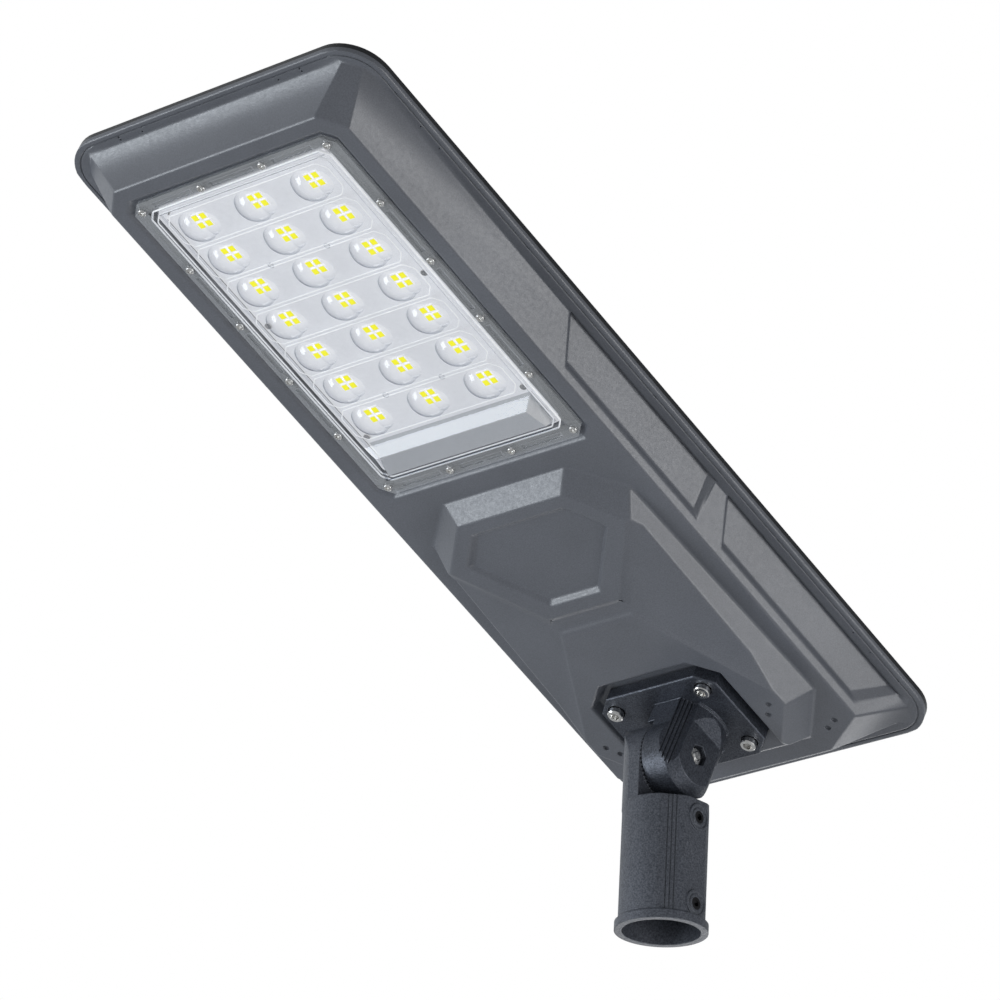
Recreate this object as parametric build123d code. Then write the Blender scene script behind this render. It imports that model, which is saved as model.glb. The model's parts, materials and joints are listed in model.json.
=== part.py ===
from build123d import *
from math import atan2, cos, degrees, radians, sin
import os

# Solar street lamp: a flat head with a solar panel on top and an LED module
# underneath, bolted to a toothed tilt bracket that slips over a pole.
#
# Row frame: origin at the centre of the pole socket's mouth, +Z up the pole,
# the tilt hinge along X, the LED end of the head towards -Y.
# Head frame: the same axes before tilting, with its origin at the middle of
# the body outline, on the underside of the rim; everything below is -Z.

# ---------------------------------------------------------------- dimensions
HEAD_WIDTH = 317.0
HEAD_LENGTH = 770.0
HEAD_CORNER = 36.5
TILT = 24.5              # degrees, LED end up
WALL = 3.0               # moulded shell
VENT_R = 2.8              # drain and vent holes near the pole end
RIM_THICK = 4.0          # shell's rim, from z = 0 up
FRAME_TOP = 9.4          # top of the panel frame

TRAY_Z = -32.7           # flat underside of the tray
TRAY_HALF = (143.5, 124.4)       # half width at the rim and at the underside
TRAY_LED_END = (-370.2, -354.2)
TRAY_POLE_END = (371.5, 355.2)
LED_CUT = (10.6, 18.6)           # corner cuts at the rim and at the underside
POLE_CUT = (19.5, 45.6)
POLE_CUT_SLOPE = 0.61

PAD_Z = -57.0            # underside of the battery block
STEP_Z = -54.6
RECESS_DEPTH = 4.0       # hexagonal recess in the boss

LENS_HALF = 106.0
LENS_LED_END = -337.0
LENS_POLE_END = -9.2
LENS_CUT = 9.5
LENS_FACE = -32.5        # outer face of the lens flange
LENS_FIELD = -34.0       # outer face of the raised lens field
LEDGE_Z = -28.2          # ledge that the lens gasket lies on
LEDGE_INNER = -25.5
WINDOW_HALF = 90.0
WINDOW_ENDS = (-325.0, -23.0)
LED_COLUMNS = 3
LED_ROWS = 7
LED_PITCH_X = 59.1
LED_PITCH_Y = 36.3
LED_FIRST_ROW = -301.2
DOME_RADIUS = 15.6
DOME_HEIGHT = 8.0
SIDE_SCREW_X = 100.2
END_SCREW_X = 32.2
CORNER_SCREW_X = 97.1

PLATE_Y = 270.2          # bolt circle and hinge, along the head
PLATE_FACE = -60.2
PLATE_THICK = 12.0
BOLT_X = 45.0
BOLT_Y = 31.8
HINGE_DROP = 39.6        # hinge axis below the plate face
KNUCKLE_R = 32.6
KNUCKLE_STRAIGHT = 23.9  # from the toothed joint to where the cheek tapers
KNUCKLE_CHEEK = 32.5
CHEEK_R = 24.9
CHEEK_FLAT = 18.9          # half width of the flat cheek
SHAVE = ((17.4, 33.0), (28.4, CHEEK_FLAT))   # slanting side of the casting, x and half width
WEB_HALF = 29.2
TOOTH_COUNT = 60
TOOTH_HEIGHT = 1.7
HINGE_BOLT_R = 4.0
BOLT_SEAT = -26.0          # under the hinge bolt's head
NUT_CIRCLE = 7.5
NUT_FACE = 29.0           # outer face of the nut, sunk in the cheek

HINGE_HEIGHT = 140.0     # hinge axis above the socket's mouth
SOCKET_BORE = 31.0
SOCKET_R = 35.4
SOCKET_FLAT = 34.0
SOCKET_TOP = 102.7
SOCKET_DEPTH = 96.0
COLLAR_R = 37.0
COLLAR_HEIGHT = 8.0
SCREW_HEIGHTS = (17.0, 88.0)
SCREW_BOSS_R = 11.0
SCREW_BOSS_X = 35.6
SET_SCREW_R = 5.0

CELL_R = 16.1            # 32700 battery cell
CELL_LENGTH = 70.5
CELL_Z = -19.0

PANEL_GAP = 11.0         # from the body outline to the glass
BOARD_Z = (-27.1, LEDGE_INNER)
CHIP = 5.6
CHIP_PITCH = 7.9
LEAD_R = 1.5
LED_LEAD_AT = (-60.5, -36.0)

# ------------------------------------------------------------------- helpers
LOW = (Align.CENTER, Align.CENTER, Align.MIN)
HINGE_Z = PLATE_FACE - HINGE_DROP
TO_ROW = Pos(0, 0, HINGE_HEIGHT) * Rot(X=-TILT) * Pos(0, -PLATE_Y, -HINGE_Z)


def slab(width, y_min, y_max, z_min, z_max, x=0.0):
    """A plain block between two heights."""
    size = (width, y_max - y_min, z_max - z_min)
    return Pos(x, (y_min + y_max) / 2, (z_min + z_max) / 2) * Box(*size)


def drum(radius, x, y, z_min, z_max):
    """An upright cylinder between two heights."""
    return Pos(x, y, z_min) * Cylinder(radius, z_max - z_min, align=LOW)


def cross_drum(radius, x_min, x_max, y=0.0, z=0.0):
    """A cylinder along X."""
    return Pos(x_min, y, z) * Rot(Y=90) * Cylinder(radius, x_max - x_min, align=LOW)


def rounded_plate(width, length, corner, z_min, z_max):
    """The body outline as a plate between two heights."""
    outline = Pos(0, 0, z_min) * RectangleRounded(width, length, corner)
    return extrude(outline, amount=z_max - z_min, dir=(0, 0, 1))


def facet_solid(faces):
    """A closed solid from flat faces given by their corners."""
    flat = [Face(Wire.make_polygon([Vector(*p) for p in loop])) for loop in faces]
    return Solid(Shell(flat))


def quad(p, q, r, s):
    """One flat face, or two triangles where the four corners are out of plane."""
    normal, offset = plane_of(p, q, r)
    if abs(normal.dot(Vector(*s)) - offset) < 1e-5:
        return [[p, q, r, s]]
    return [[p, q, r], [p, r, s]]


def tapered(lower, z_lower, upper, z_upper):
    """A flat-sided solid between two outlines with the same number of corners."""
    low = [(x, y, z_lower) for x, y in lower]
    high = [(x, y, z_upper) for x, y in upper]
    sides = []
    for i in range(len(low)):
        j = (i + 1) % len(low)
        sides += quad(low[i], low[j], high[j], high[i])
    return facet_solid([low, high] + sides)


def prism(outline, z_min, z_max):
    """An upright prism on an outline."""
    return tapered(outline, z_min, outline, z_max)


def plane_of(p, q, r):
    """Normal and offset of the plane through three points."""
    normal = (Vector(*q) - Vector(*p)).cross(Vector(*r) - Vector(*p)).normalized()
    return normal, normal.dot(Vector(*p))


def meet(first, second, third):
    """The point that three planes share."""
    (n1, d1), (n2, d2), (n3, d3) = first, second, third
    det = n1.dot(n2.cross(n3))
    point = (n2.cross(n3) * d1 + n3.cross(n1) * d2 + n1.cross(n2) * d3) * (1 / det)
    return point.X, point.Y, point.Z


def across(axis, value):
    """The plane square to an axis at a given coordinate."""
    return axis.direction, value


def mirrored(point):
    return -point[0], point[1], point[2]


def both_sides(points):
    """A right-hand list of outline points, closed by its mirror image."""
    return points + [(-x, y) for x, y in reversed(points)]


def tray_outline(level, inset_side=0.0, inset_end=0.0):
    """Outline of the tray at the rim (level 0) or at the underside (level 1)."""
    half = TRAY_HALF[level] - inset_side
    led = TRAY_LED_END[level] + inset_end
    pole = TRAY_POLE_END[level] - inset_end
    cut = LED_CUT[level]
    back = POLE_CUT[level]
    right = [(half - cut, led), (half, led + cut),
             (half, pole - back * POLE_CUT_SLOPE), (half - back, pole)]
    return both_sides(right)


def lens_outline(grow):
    """Outline of the lens, larger by grow on every side."""
    half = LENS_HALF + grow
    led = LENS_LED_END - grow
    pole = LENS_POLE_END + grow
    right = [(half - LENS_CUT, led), (half, led + LENS_CUT),
             (half, pole - LENS_CUT), (half - LENS_CUT, pole)]
    return both_sides(right)


def ring_prism(outer, inner, z_min, z_max):
    return prism(outer, z_min, z_max) - prism(inner, z_min - 1, z_max + 1)


def plate_outline(grow):
    """Cut-cornered outline of the mounting plate, larger by grow."""
    half = 59.4 + grow
    length = 46.6 + grow
    right = [(45.0 + grow / 2, PLATE_Y - length), (half, PLATE_Y - length + 13.0),
             (half, PLATE_Y + length - 13.0), (45.0 + grow / 2, PLATE_Y + length)]
    return both_sides(right)


def led_places():
    """Centres of the LED groups, by column and row."""
    for row in range(LED_ROWS):
        for column in range(LED_COLUMNS):
            x = (column - (LED_COLUMNS - 1) / 2) * LED_PITCH_X
            yield x, LED_FIRST_ROW + row * LED_PITCH_Y


def lens_screw_places():
    """Centres of the sixteen lens screws."""
    led_side = LENS_LED_END + 5.8
    pole_side = LENS_POLE_END - 6.0
    pitch = 62.6
    places = []
    for side in (-1, 1):
        for step in range(4):
            places.append((side * SIDE_SCREW_X, -266.0 + step * pitch))
        places.append((side * END_SCREW_X, led_side))
        places.append((side * END_SCREW_X, pole_side))
        places.append((side * CORNER_SCREW_X, led_side + 2.6))
        places.append((side * CORNER_SCREW_X, pole_side - 1.9))
    return places


def frame_screw_places():
    """Centres of the panel frame's screws."""
    x_side = HEAD_WIDTH / 2 - 5.5
    y_end = HEAD_LENGTH / 2 - 5.5
    places = []
    for side in (-1, 1):
        for step in range(5):
            places.append((side * x_side, (step - 2) * 165.0))
        places.append((-70.0, side * y_end))
        places.append((70.0, side * y_end))
    return places


def plate_bolt_places():
    return [(sx * BOLT_X, PLATE_Y + sy * BOLT_Y) for sx in (-1, 1) for sy in (-1, 1)]


# ------------------------------------------------------------- lower housing
def battery_block():
    """Faceted block under the tray: hexagonal boss, ramps and battery pad."""
    base = TRAY_Z
    a = (63.1, 14.1, base)
    b = (102.9, 49.5, base)
    c = (110.4, 289.9, base)
    d = (72.9, 335.2, base)
    e = (54.0, 29.1, -47.0)
    g = (36.0, 134.2, -56.8)
    step_edge = (38.0, 148.4, STEP_Z)
    pad_edge = (37.0, 152.6, PAD_Z)
    boss_top = plane_of(e, g, mirrored(e))
    led_side = plane_of(a, b, e)
    flank = plane_of(b, c, (97.5, 262.0, PAD_Z))
    corner = plane_of(c, d, (99.5, 276.8, PAD_Z))
    end = plane_of(d, mirrored(d), (0, 320.0, PAD_Z))
    ramp_low = meet(flank, across(Axis.Y, 80.1), across(Axis.Z, -45.3))
    ramp_high = meet(flank, across(Axis.Y, 225.2), across(Axis.Z, -50.0))
    f = meet(boss_top, led_side, across(Axis.X, 91.3))
    boss_side = plane_of(f, g, ramp_low)
    h = meet(flank, led_side, boss_side)
    pad_side = meet(flank, across(Axis.Y, 262.0), across(Axis.Z, PAD_Z))
    m = meet(flank, across(Axis.Z, PAD_Z), corner)
    n = meet(corner, across(Axis.Z, PAD_Z), end)
    step_corner = meet(boss_side, across(Axis.Z, STEP_Z), across(Axis.Y, 139.5))
    step_foot = (g[0], 136.6, STEP_Z)

    right = [
        [a, b, h, f, e],
        [b, c, m, pad_side, ramp_high, ramp_low, h],
        [f, h, ramp_low, step_corner, g],
        [g, step_corner, step_foot],
        [ramp_low, step_edge, step_corner], [ramp_low, ramp_high, step_edge],
        [step_edge, ramp_high, pad_side], [step_edge, pad_side, pad_edge],
        [c, d, n, m],
    ]
    left = [[mirrored(p) for p in reversed(loop)] for loop in right]
    middle = [
        [mirrored(a), a, e, mirrored(e)],
        [mirrored(e), e, f, g, mirrored(g), mirrored(f)],
        [mirrored(g), g, step_foot, mirrored(step_foot)],
        [mirrored(step_foot), step_foot, step_corner, step_edge,
         mirrored(step_edge), mirrored(step_corner)],
        [mirrored(step_edge), step_edge, pad_edge, mirrored(pad_edge)],
        [mirrored(pad_edge), pad_edge, pad_side, m, n,
         mirrored(n), mirrored(m), mirrored(pad_side)],
        [mirrored(d), mirrored(n), n, d],
        [a, mirrored(a), mirrored(b), mirrored(c), mirrored(d), d, c, b],
    ]
    return facet_solid(right + left + middle)


def block_cavity():
    """Room inside the battery block, from the tray down."""
    outer = [(54.0, 28.0), (95.0, 62.0), (103.0, 284.0), (68.0, 326.0)]
    inner = [(50.0, 40.0), (84.0, 72.0), (92.0, 266.0), (62.0, 312.0)]
    front = tapered(both_sides(outer), TRAY_Z - 0.5, both_sides(inner), -41.5)
    pad = [(34.0, 160.0), (88.0, 232.0), (92.0, 262.0), (62.0, 312.0)]
    deep = [(32.0, 162.0), (80.0, 240.0), (86.0, 262.0), (58.0, 310.0)]
    back = tapered(both_sides(pad), -41.5, both_sides(deep), PAD_Z + WALL)
    upright = prism(both_sides(outer), TRAY_Z - 0.5, TRAY_Z + 8.0)
    plate_floor = prism(plate_outline(12.0), PAD_Z, PLATE_FACE + PLATE_THICK + 4.6)
    return front + upright + (back - plate_floor)


def hex_recess():
    """Shallow six-sided recess in the boss, parallel to its face."""
    floor = [(45.6, 43.0), (69.6, 68.2), (24.6, 118.6)]
    slope = (56.8 - 47.0) / (134.2 - 29.1)

    def lifted(points, lift):
        return [(x, y, -47.0 - slope * (y - 29.1) + lift) for x, y in both_sides(points)]

    over = lifted([(51.2, 37.0), (77.2, 66.4), (29.0, 126.0)], -RECESS_DEPTH)
    low = lifted(floor, RECESS_DEPTH)
    sides = []
    for i in range(len(over)):
        j = (i + 1) % len(over)
        sides += quad(over[i], over[j], low[j], low[i])
    return facet_solid([over, low] + sides)


def side_pocket(rim_ends, deep_ends, side):
    """Long shallow pocket in the sloping side, open towards the rim."""
    drop = TRAY_HALF[0] - TRAY_HALF[1]
    slant = (drop ** 2 + TRAY_Z ** 2) ** 0.5
    down = (-drop / slant, TRAY_Z / slant)
    out = (-TRAY_Z / slant, -drop / slant)

    def place(y, along, lift):
        x = TRAY_HALF[0] + down[0] * along + out[0] * lift
        z = down[1] * along + out[1] * lift
        return side * x, y, z

    y0, y1, y2, y3 = rim_ends
    q0, q1, q2, q3 = deep_ends
    top = [place(y0, -2.0, 1.0), place(y1, 31.0, 1.0), place(y2, 31.0, 1.0), place(y3, -2.0, 1.0)]
    low = [place(q0, -2.0, -3.4), place(q1, 27.0, -3.4), place(q2, 27.0, -3.4), place(q3, -2.0, -3.4)]
    faces = [top, low]
    for i in range(4):
        j = (i + 1) % 4
        faces += quad(top[i], top[j], low[j], low[i])
    return facet_solid(faces)


def make_lower_housing():
    rim = rounded_plate(HEAD_WIDTH, HEAD_LENGTH, HEAD_CORNER, 0, RIM_THICK)
    tray = tapered(tray_outline(0), 0.5, tray_outline(1), TRAY_Z)
    body = rim + tray + battery_block()

    room = tapered(tray_outline(0, 7.5, 4.5), RIM_THICK + 1, tray_outline(1, 7.5, 4.5), TRAY_Z + WALL)
    body -= room
    body -= block_cavity()
    body -= hex_recess()

    for side in (-1, 1):
        body -= side_pocket((-100.0, -69.0, 104.0, 94.0), (-98.0, -71.0, 96.0, 84.5), side)
        body -= side_pocket((107.5, 137.0, 322.0, 347.0), (109.5, 135.0, 309.0, 334.0), side)

    # lens bay: sloping mouth, ledge and window
    body += ring_prism(lens_outline(5.0), window_outline(0.0), TRAY_Z + WALL - 1, LEDGE_INNER)
    body -= tapered(lens_outline(4.6), TRAY_Z - 0.01, lens_outline(0.8), LEDGE_Z)
    body -= prism(window_outline(0.0), TRAY_Z, LEDGE_INNER + 1)
    for x, y in lens_screw_places():
        body += drum(4.2, x, y, LEDGE_Z + 0.5, -16.0)
        body -= drum(1.75, x, y, TRAY_Z, -18.0)

    # seat of the mounting plate, open towards the pole end
    seat = both_sides([(45.5, PLATE_Y - 59.0), (67.5, PLATE_Y - 40.0), (67.5, 345.0)])
    body -= tapered(seat, PAD_Z - 1, both_sides([(44.0, PLATE_Y - 52.5), (63.5, PLATE_Y - 37.0),
                                                 (63.5, 345.0)]), PLATE_FACE + PLATE_THICK + 1.0)
    for x, y in plate_bolt_places():
        body -= drum(4.5, x, y, PAD_Z, -30.0)

    # rim groove, drain holes and vents
    groove = RectangleRounded(HEAD_WIDTH - 9, HEAD_LENGTH - 9, HEAD_CORNER - 4.5)
    groove -= RectangleRounded(HEAD_WIDTH - 11.4, HEAD_LENGTH - 11.4, HEAD_CORNER - 5.7)
    body -= extrude(groove, amount=0.8, dir=(0, 0, 1))
    for side in (-1, 1):
        for x, y in ((84.8, 273.5), (77.0, 283.3)):
            body -= drum(VENT_R, side * x, y, PAD_Z - 1, PAD_Z + 2.0)
        for x, y in ((104.4, 325.1), (93.4, 331.1)):
            body -= drum(VENT_R, side * x, y, TRAY_Z - 1, TRAY_Z + 2.0)
        for y in (-296.5, -272.8, 271.4, 294.9):
            body -= drum(0.8, side * 150.6, y, -1, 2.0)
        for x, y in ((95.6, -378.6), (95.6, -376.0), (72.0, -376.2)):
            body -= drum(0.8, side * x, y, -1, 2.0)
    for x, y in frame_screw_places():
        body -= drum(1.3, x, y, 0.9, RIM_THICK + 1)
    for x, y in heat_sink_screw_places():
        body -= drum(1.2, x, y, LEDGE_INNER - 1.7, LEDGE_INNER + 1)
    return body


def window_outline(grow):
    half = WINDOW_HALF + grow
    return both_sides([(half, WINDOW_ENDS[0] - grow), (half, WINDOW_ENDS[1] + grow)])


# -------------------------------------------------------------- solar panel
def make_panel_gasket():
    outer = RectangleRounded(HEAD_WIDTH - 18, HEAD_LENGTH - 18, HEAD_CORNER - 9)
    inner = RectangleRounded(HEAD_WIDTH - 24, HEAD_LENGTH - 24, HEAD_CORNER - 12)
    return extrude(Pos(0, 0, RIM_THICK) * (outer - inner), amount=0.8, dir=(0, 0, 1))


def make_panel_frame():
    body = rounded_plate(HEAD_WIDTH, HEAD_LENGTH, HEAD_CORNER, RIM_THICK, FRAME_TOP)
    body = chamfer(body.faces().sort_by(Axis.Z)[-1].edges(), 1.2)
    bed = rounded_plate(HEAD_WIDTH - 2 * PANEL_GAP, HEAD_LENGTH - 2 * PANEL_GAP,
                        HEAD_CORNER - PANEL_GAP, RIM_THICK + 1.4, FRAME_TOP + 1)
    opening = rounded_plate(HEAD_WIDTH - 50, HEAD_LENGTH - 50, 12.0, RIM_THICK - 1, FRAME_TOP)
    body = body - bed - opening
    groove = RectangleRounded(HEAD_WIDTH - 17.8, HEAD_LENGTH - 17.8, HEAD_CORNER - 8.9)
    groove -= RectangleRounded(HEAD_WIDTH - 24.2, HEAD_LENGTH - 24.2, HEAD_CORNER - 12.1)
    body -= extrude(Pos(0, 0, RIM_THICK) * groove, amount=0.8, dir=(0, 0, 1))
    for x, y in frame_screw_places():
        body -= drum(1.7, x, y, RIM_THICK - 1, FRAME_TOP + 1)
        body -= drum(3.3, x, y, FRAME_TOP - 2.2, FRAME_TOP + 1)
    return body


def panel_sheet(shrink, z_min, z_max):
    width = HEAD_WIDTH - 2 * (PANEL_GAP + 0.3) - shrink
    length = HEAD_LENGTH - 2 * (PANEL_GAP + 0.3) - shrink
    return rounded_plate(width, length, HEAD_CORNER - PANEL_GAP - 0.3, z_min, z_max)


def make_solar_cells():
    across = 4
    along = 10
    pitch_x = 69.0
    pitch_y = 71.5
    cells = []
    for i in range(across):
        for j in range(along):
            x = (i - (across - 1) / 2) * pitch_x
            y = (j - (along - 1) / 2) * pitch_y
            cells.append(slab(pitch_x - 2, y - pitch_y / 2 + 1, y + pitch_y / 2 - 1, 5.9, 6.2, x))
    return cells


def make_frame_screws():
    screws = []
    for x, y in frame_screw_places():
        head = drum(3.1, x, y, FRAME_TOP - 2.2, FRAME_TOP - 0.2)
        shank = drum(1.3, x, y, RIM_THICK - 3.0, FRAME_TOP - 2.2)
        drive = slab(3.6, y - 0.4, y + 0.4, FRAME_TOP - 1.2, FRAME_TOP, x)
        screws.append(head + shank - drive - Pos(x, y, 0) * Rot(Z=90) * Pos(-x, -y, 0) * drive)
    return screws


def make_panel_junction():
    box = slab(56.0, -64.0, -24.0, -9.0, 5.4)
    return chamfer(box.edges().filter_by(Axis.Z), 3.0)


# --------------------------------------------------------------- LED module
def dome(x, y, base, radius, height):
    """A main lens dome with a lower shoulder lobe on its +X side."""
    sphere_r = (radius ** 2 + height ** 2) / (2 * height)
    main = Pos(x - 2.0, y, base - height + sphere_r) * Sphere(sphere_r)
    lobe_r = radius * 0.80
    lobe_h = height * 0.62
    lobe_sphere = (lobe_r ** 2 + lobe_h ** 2) / (2 * lobe_h)
    lobe = Pos(x + 7.0, y, base - lobe_h + lobe_sphere) * Sphere(lobe_sphere)
    keep = slab(4 * radius, y - 2 * radius, y + 2 * radius, base - height - 1, base + 0.4, x)
    return (main + lobe) & keep


def hump(inset, z_face, z_root):
    """Trapezoid hump at the pole end of the lens."""
    foot = both_sides([(87.5 - inset, -61.5 + inset), (89.0 - inset, -25.0 - inset)])
    crown = both_sides([(78.7 - inset, -51.5 + inset), (85.5 - inset, -28.5 - inset)])
    return tapered(foot, z_root, crown, z_face)


def make_lens_cover():
    flange = prism(lens_outline(0.0), LENS_FACE, LEDGE_Z - 0.7)
    field_half = 93.5
    field_led = -326.0
    field_pole = -23.5
    field = both_sides([(field_half - 6, field_led), (field_half, field_led + 6),
                        (field_half, field_pole - 6), (field_half - 6, field_pole)])
    inner = both_sides([(field_half - 9, field_led + 4), (field_half - 4, field_led + 9),
                        (field_half - 4, field_pole - 9), (field_half - 9, field_pole - 4)])
    lens = flange + prism(field, LENS_FIELD - 1.0, LENS_FACE + 1)
    lens -= prism(inner, LENS_FIELD - 2.0, LENS_FIELD)
    room = both_sides([(86.5, field_led + 6), (86.5, field_pole - 5)])
    lens -= prism(room, LENS_FIELD + 2.6, LEDGE_Z)
    for x, y in led_places():
        lens += dome(x, y, LENS_FIELD, DOME_RADIUS, DOME_HEIGHT)
    lens += hump(0.0, -40.4, LENS_FIELD + 1)
    lens -= hump(2.2, -38.2, LEDGE_Z)
    for x, y in lens_screw_places():
        lens -= drum(2.1, x, y, LENS_FACE - 1, LEDGE_Z)
    for side in (-1, 1):
        for step in range(3):
            y = -266.0 + (step + 0.5) * 62.6
            lens -= slab(4.0, y - 22, y + 22, LENS_FACE - 1, LENS_FACE + 1.2, side * 99.9)
        for y in (LENS_LED_END + 5.8, LENS_POLE_END - 6.0):
            lens -= slab(40.0, y - 2.0, y + 2.0, LENS_FACE - 1, LENS_FACE + 1.2, side * 63.0)
            if side > 0:
                lens -= slab(44.0, y - 2.0, y + 2.0, LENS_FACE - 1, LENS_FACE + 1.2)
    return lens


def make_lens_gasket():
    ring = ring_prism(lens_outline(-1.0), window_outline(2.0), LEDGE_Z - 0.7, LEDGE_Z)
    for x, y in lens_screw_places():
        ring -= drum(2.1, x, y, LEDGE_Z - 1, LEDGE_Z + 1)
    return ring


def make_lens_screws():
    screws = []
    for x, y in lens_screw_places():
        head = drum(3.4, x, y, LENS_FACE - 1.8, LENS_FACE)
        head = fillet(head.faces().sort_by(Axis.Z)[0].edges(), 0.8)
        shank = drum(1.75, x, y, LENS_FACE, -18.5)
        slot = slab(3.6, y - 0.4, y + 0.4, LENS_FACE - 2, LENS_FACE - 0.8, x)
        cross = slab(0.8, y - 1.8, y + 1.8, LENS_FACE - 2, LENS_FACE - 0.8, x)
        screws.append(head + shank - slot - cross)
    return screws


def board_screw_places():
    places = []
    for side in (-1, 1):
        for y in (-319.0, -192.0, -65.5):
            places.append((side * 82.0, y))
    return places


def make_led_board():
    board = slab(174.0, WINDOW_ENDS[0] + 1.5, WINDOW_ENDS[1] - 1.5, *BOARD_Z)
    for x, y in board_screw_places():
        board -= drum(1.6, x, y, BOARD_Z[0] - 1, BOARD_Z[1] + 1)
    return board


def make_led_chips():
    chips = []
    for x, y in led_places():
        for sx in (-0.5, 0.5):
            for sy in (-0.5, 0.5):
                cx = x + sx * CHIP_PITCH
                cy = y + sy * CHIP_PITCH
                chips.append(slab(CHIP, cy - CHIP / 2, cy + CHIP / 2, BOARD_Z[0] - 0.9, BOARD_Z[0], cx))
    return chips


def make_board_screws():
    screws = []
    for x, y in board_screw_places():
        head = drum(2.8, x, y, BOARD_Z[0] - 1.4, BOARD_Z[0])
        shank = drum(1.5, x, y, BOARD_Z[0], LEDGE_INNER + 2.6)
        screws.append(head + shank)
    return screws


def heat_sink_screw_places():
    places = []
    for side in (-1, 1):
        for y in (-297.0, -172.0, -47.0):
            places.append((side * 92.6, y))
    return places


def make_heat_sink():
    sink = slab(190.6, WINDOW_ENDS[0] - 1.0, WINDOW_ENDS[1] + 3.0, LEDGE_INNER, LEDGE_INNER + 3.0)
    fins = 15
    for i in range(fins):
        x = (i - (fins - 1) / 2) * 11.0
        sink += slab(1.8, WINDOW_ENDS[0] + 10, WINDOW_ENDS[1] - 20, LEDGE_INNER + 2.5, -12.0, x)
    for x, y in board_screw_places():
        sink -= drum(1.5, x, y, LEDGE_INNER - 1, LEDGE_INNER + 2.6)
    for x, y in heat_sink_screw_places():
        sink -= drum(1.3, x, y, LEDGE_INNER - 1, LEDGE_INNER + 4)
    for x, y in lens_screw_places():
        sink -= drum(4.5, x, y, LEDGE_INNER - 1, LEDGE_INNER + 4)
    sink -= drum(LEAD_R + 0.6, *LED_LEAD_AT, LEDGE_INNER - 1, LEDGE_INNER + 4)
    return sink


def make_heat_sink_screws():
    screws = []
    top = LEDGE_INNER + 3.0
    for x, y in heat_sink_screw_places():
        screws.append(drum(2.4, x, y, top, top + 1.6) + drum(1.2, x, y, top - 4.6, top))
    return screws


def make_terminal_cover():
    """White cover over the board's terminals, inside the hump."""
    shell = hump(2.6, -37.8, BOARD_Z[0])
    return shell - (hump(4.4, -36.0, BOARD_Z[0] + 1))


# ------------------------------------------------------ battery and controls
def cell_places():
    for i in range(5):
        for y in (78.0, 151.5):
            yield (i - 2) * 34.5, y


def make_battery_cells():
    cells = []
    for x, y in cell_places():
        body = Cylinder(CELL_R, CELL_LENGTH, align=LOW) + Pos(0, 0, CELL_LENGTH) * Cylinder(
            5.0, 1.5, align=LOW)
        cells.append(Pos(x, y, CELL_Z) * Rot(X=-90) * body)
    return cells


def make_battery_tray():
    tray = slab(176.0, 75.0, 226.0, CELL_Z - 18.0, CELL_Z + 2.0)
    for x, y in cell_places():
        tray -= Pos(x, y, CELL_Z) * Rot(X=-90) * Cylinder(CELL_R + 0.15, CELL_LENGTH + 1.6, align=LOW)
    tray -= slab(150.0, 77.5, 223.8, CELL_Z - 4.0, CELL_Z + 3)
    return tray


def make_battery_straps():
    straps = []
    for y in (108.0, 181.0):
        outer = slab(176.0, y, y + 12, CELL_Z + 2.0, CELL_Z + CELL_R + 1.6)
        outer -= slab(173.0, y - 1, y + 13, CELL_Z + 1.9, CELL_Z + CELL_R + 0.1)
        straps.append(outer)
    return straps


def make_controller_board():
    board = slab(120.0, -2.0, 62.0, -14.0, -12.4)
    for sx in (-1, 1):
        for y in (4.0, 56.0):
            board += drum(3.0, sx * 54.0, y, TRAY_Z + WALL, -14.0)
    return board


def make_controller_parts():
    parts = [slab(24.0, 6.0, 26.0, -12.4, -2.4, -30.0), slab(14.0, 34.0, 46.0, -12.4, -7.4, -34.0)]
    for i in range(3):
        parts.append(drum(5.0, 2.0 + 12 * i, 18.0, -12.4, -0.4))
    for i in range(3):
        parts.append(slab(12.0, 44.0, 54.0, -12.4, -4.4, -6.0 + 18 * i))
    return parts


def make_radar_sensor():
    """Microwave motion sensor board with its can, over the hexagonal recess."""
    board = slab(34.0, 32.0, 66.0, -31.6, -30.0)
    can = slab(14.0, 42.0, 56.0, -30.0, -26.5)
    return board + can


# -------------------------------------------------------------------- leads


def lead(points, bend):
    """A wire along straight runs joined by tangent arcs."""
    path = FilletPolyline(*points, radius=bend)
    start = Plane(origin=path @ 0, z_dir=path % 0)
    return sweep(start * Circle(LEAD_R), path=path)


def make_panel_lead():
    return lead([(22, -24, -4), (22, -8, -4), (58, 4, -8.4), (58, 49, -8.4), (36, 49, -8.4)], 6.0)


def make_battery_lead():
    return lead([(12, 54, -8.4), (12, 64, -8.4), (6, 70, -12), (6, 78, -12)], 4.0)


def make_led_lead():
    x, y = LED_LEAD_AT
    return lead([(-12, 49, -8.4), (x, 49, -8.4), (x, y, -8.4), (x, y, LEDGE_INNER)], 6.0)


# ---------------------------------------------------------- mounting bracket
def make_bracket_gasket():
    pad = prism(plate_outline(-3.0), PLATE_FACE + PLATE_THICK, PLATE_FACE + PLATE_THICK + 1.0)
    for x, y in plate_bolt_places():
        pad -= drum(4.5, x, y, -60, -40)
    return pad


def make_backing_plate():
    z = PLATE_FACE + PLATE_THICK + 4.6
    plate = prism(plate_outline(-8.0), z, z + 3.0)
    for x, y in plate_bolt_places():
        plate -= drum(4.5, x, y, z - 1, z + 4)
    return plate


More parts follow.
